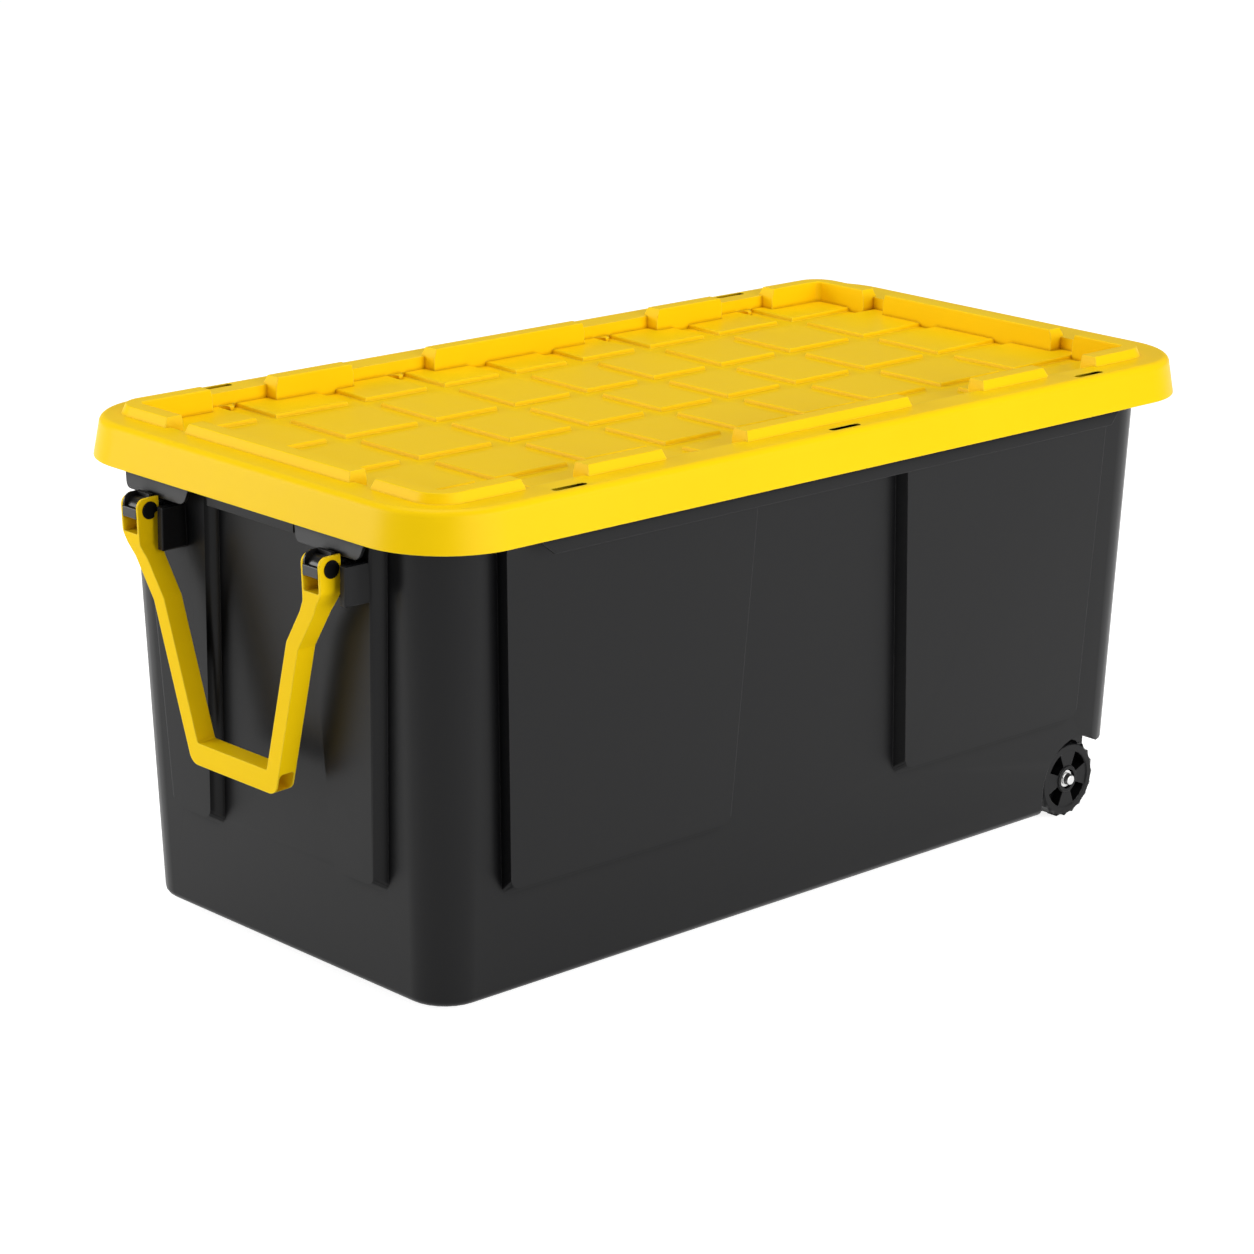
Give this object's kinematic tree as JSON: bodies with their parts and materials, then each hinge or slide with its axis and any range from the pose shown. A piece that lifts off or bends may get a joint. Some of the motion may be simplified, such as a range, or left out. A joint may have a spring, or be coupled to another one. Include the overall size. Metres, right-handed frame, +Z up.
{
  "type": "storage box",
  "caption": "Large wheeled storage tote: black tapered tub with raised wall panels, yellow lift-off lid with a tiled top, yellow swing handle and small wheels at opposite ends.",
  "frame": {"origin": "on the flat pad under the tub, midway between the tub's ends and sides", "axes": "+Z up, +X towards the wheels along the length, -X to the handle, -Y the long side seen in the picture"},
  "size_m": [1.0373, 0.5312, 0.4863],
  "materials": {
    "black_plastic": "fine moulded grain",
    "yellow_plastic": "satin moulded",
    "black_gloss_plastic": "polished",
    "steel": "zinc plated"
  },
  "bodies": {
    "base": {"tub": "black_plastic", "hinge_bracket_near": "black_gloss_plastic", "hinge_bracket_far": "black_gloss_plastic", "axle": "steel"},
    "lid_body": {"lid": "yellow_plastic"},
    "handle_body": {"handle": "yellow_plastic", "hinge_pin_near": "black_gloss_plastic", "hinge_pin_far": "black_gloss_plastic"},
    "wheel_near_body": {"wheel_near": "black_plastic", "washer_near": "steel", "axle_nut_near": "steel"},
    "wheel_far_body": {"wheel_far": "black_plastic", "washer_far": "steel", "axle_nut_far": "steel"}
  },
  "joints": [
    {"name": "lid_lift", "type": "slide", "parent": "base", "child": "lid_body", "axis": [0, 0, 1], "range_m": [0, 0.2]},
    {"name": "handle_swing", "type": "hinge", "parent": "base", "child": "handle_body", "pos_m": [-0.5146, 0, 0.4134], "axis": [0, 1, 0], "range_deg": [-4, 120]},
    {"name": "wheel_near_spin", "type": "hinge", "parent": "base", "child": "wheel_near_body", "pos_m": [0.394, -0.19, 0.0404], "axis": [0, 1, 0], "continuous": true},
    {"name": "wheel_far_spin", "type": "hinge", "parent": "base", "child": "wheel_far_body", "pos_m": [0.394, 0.19, 0.0404], "axis": [0, 1, 0], "continuous": true}
  ]
}
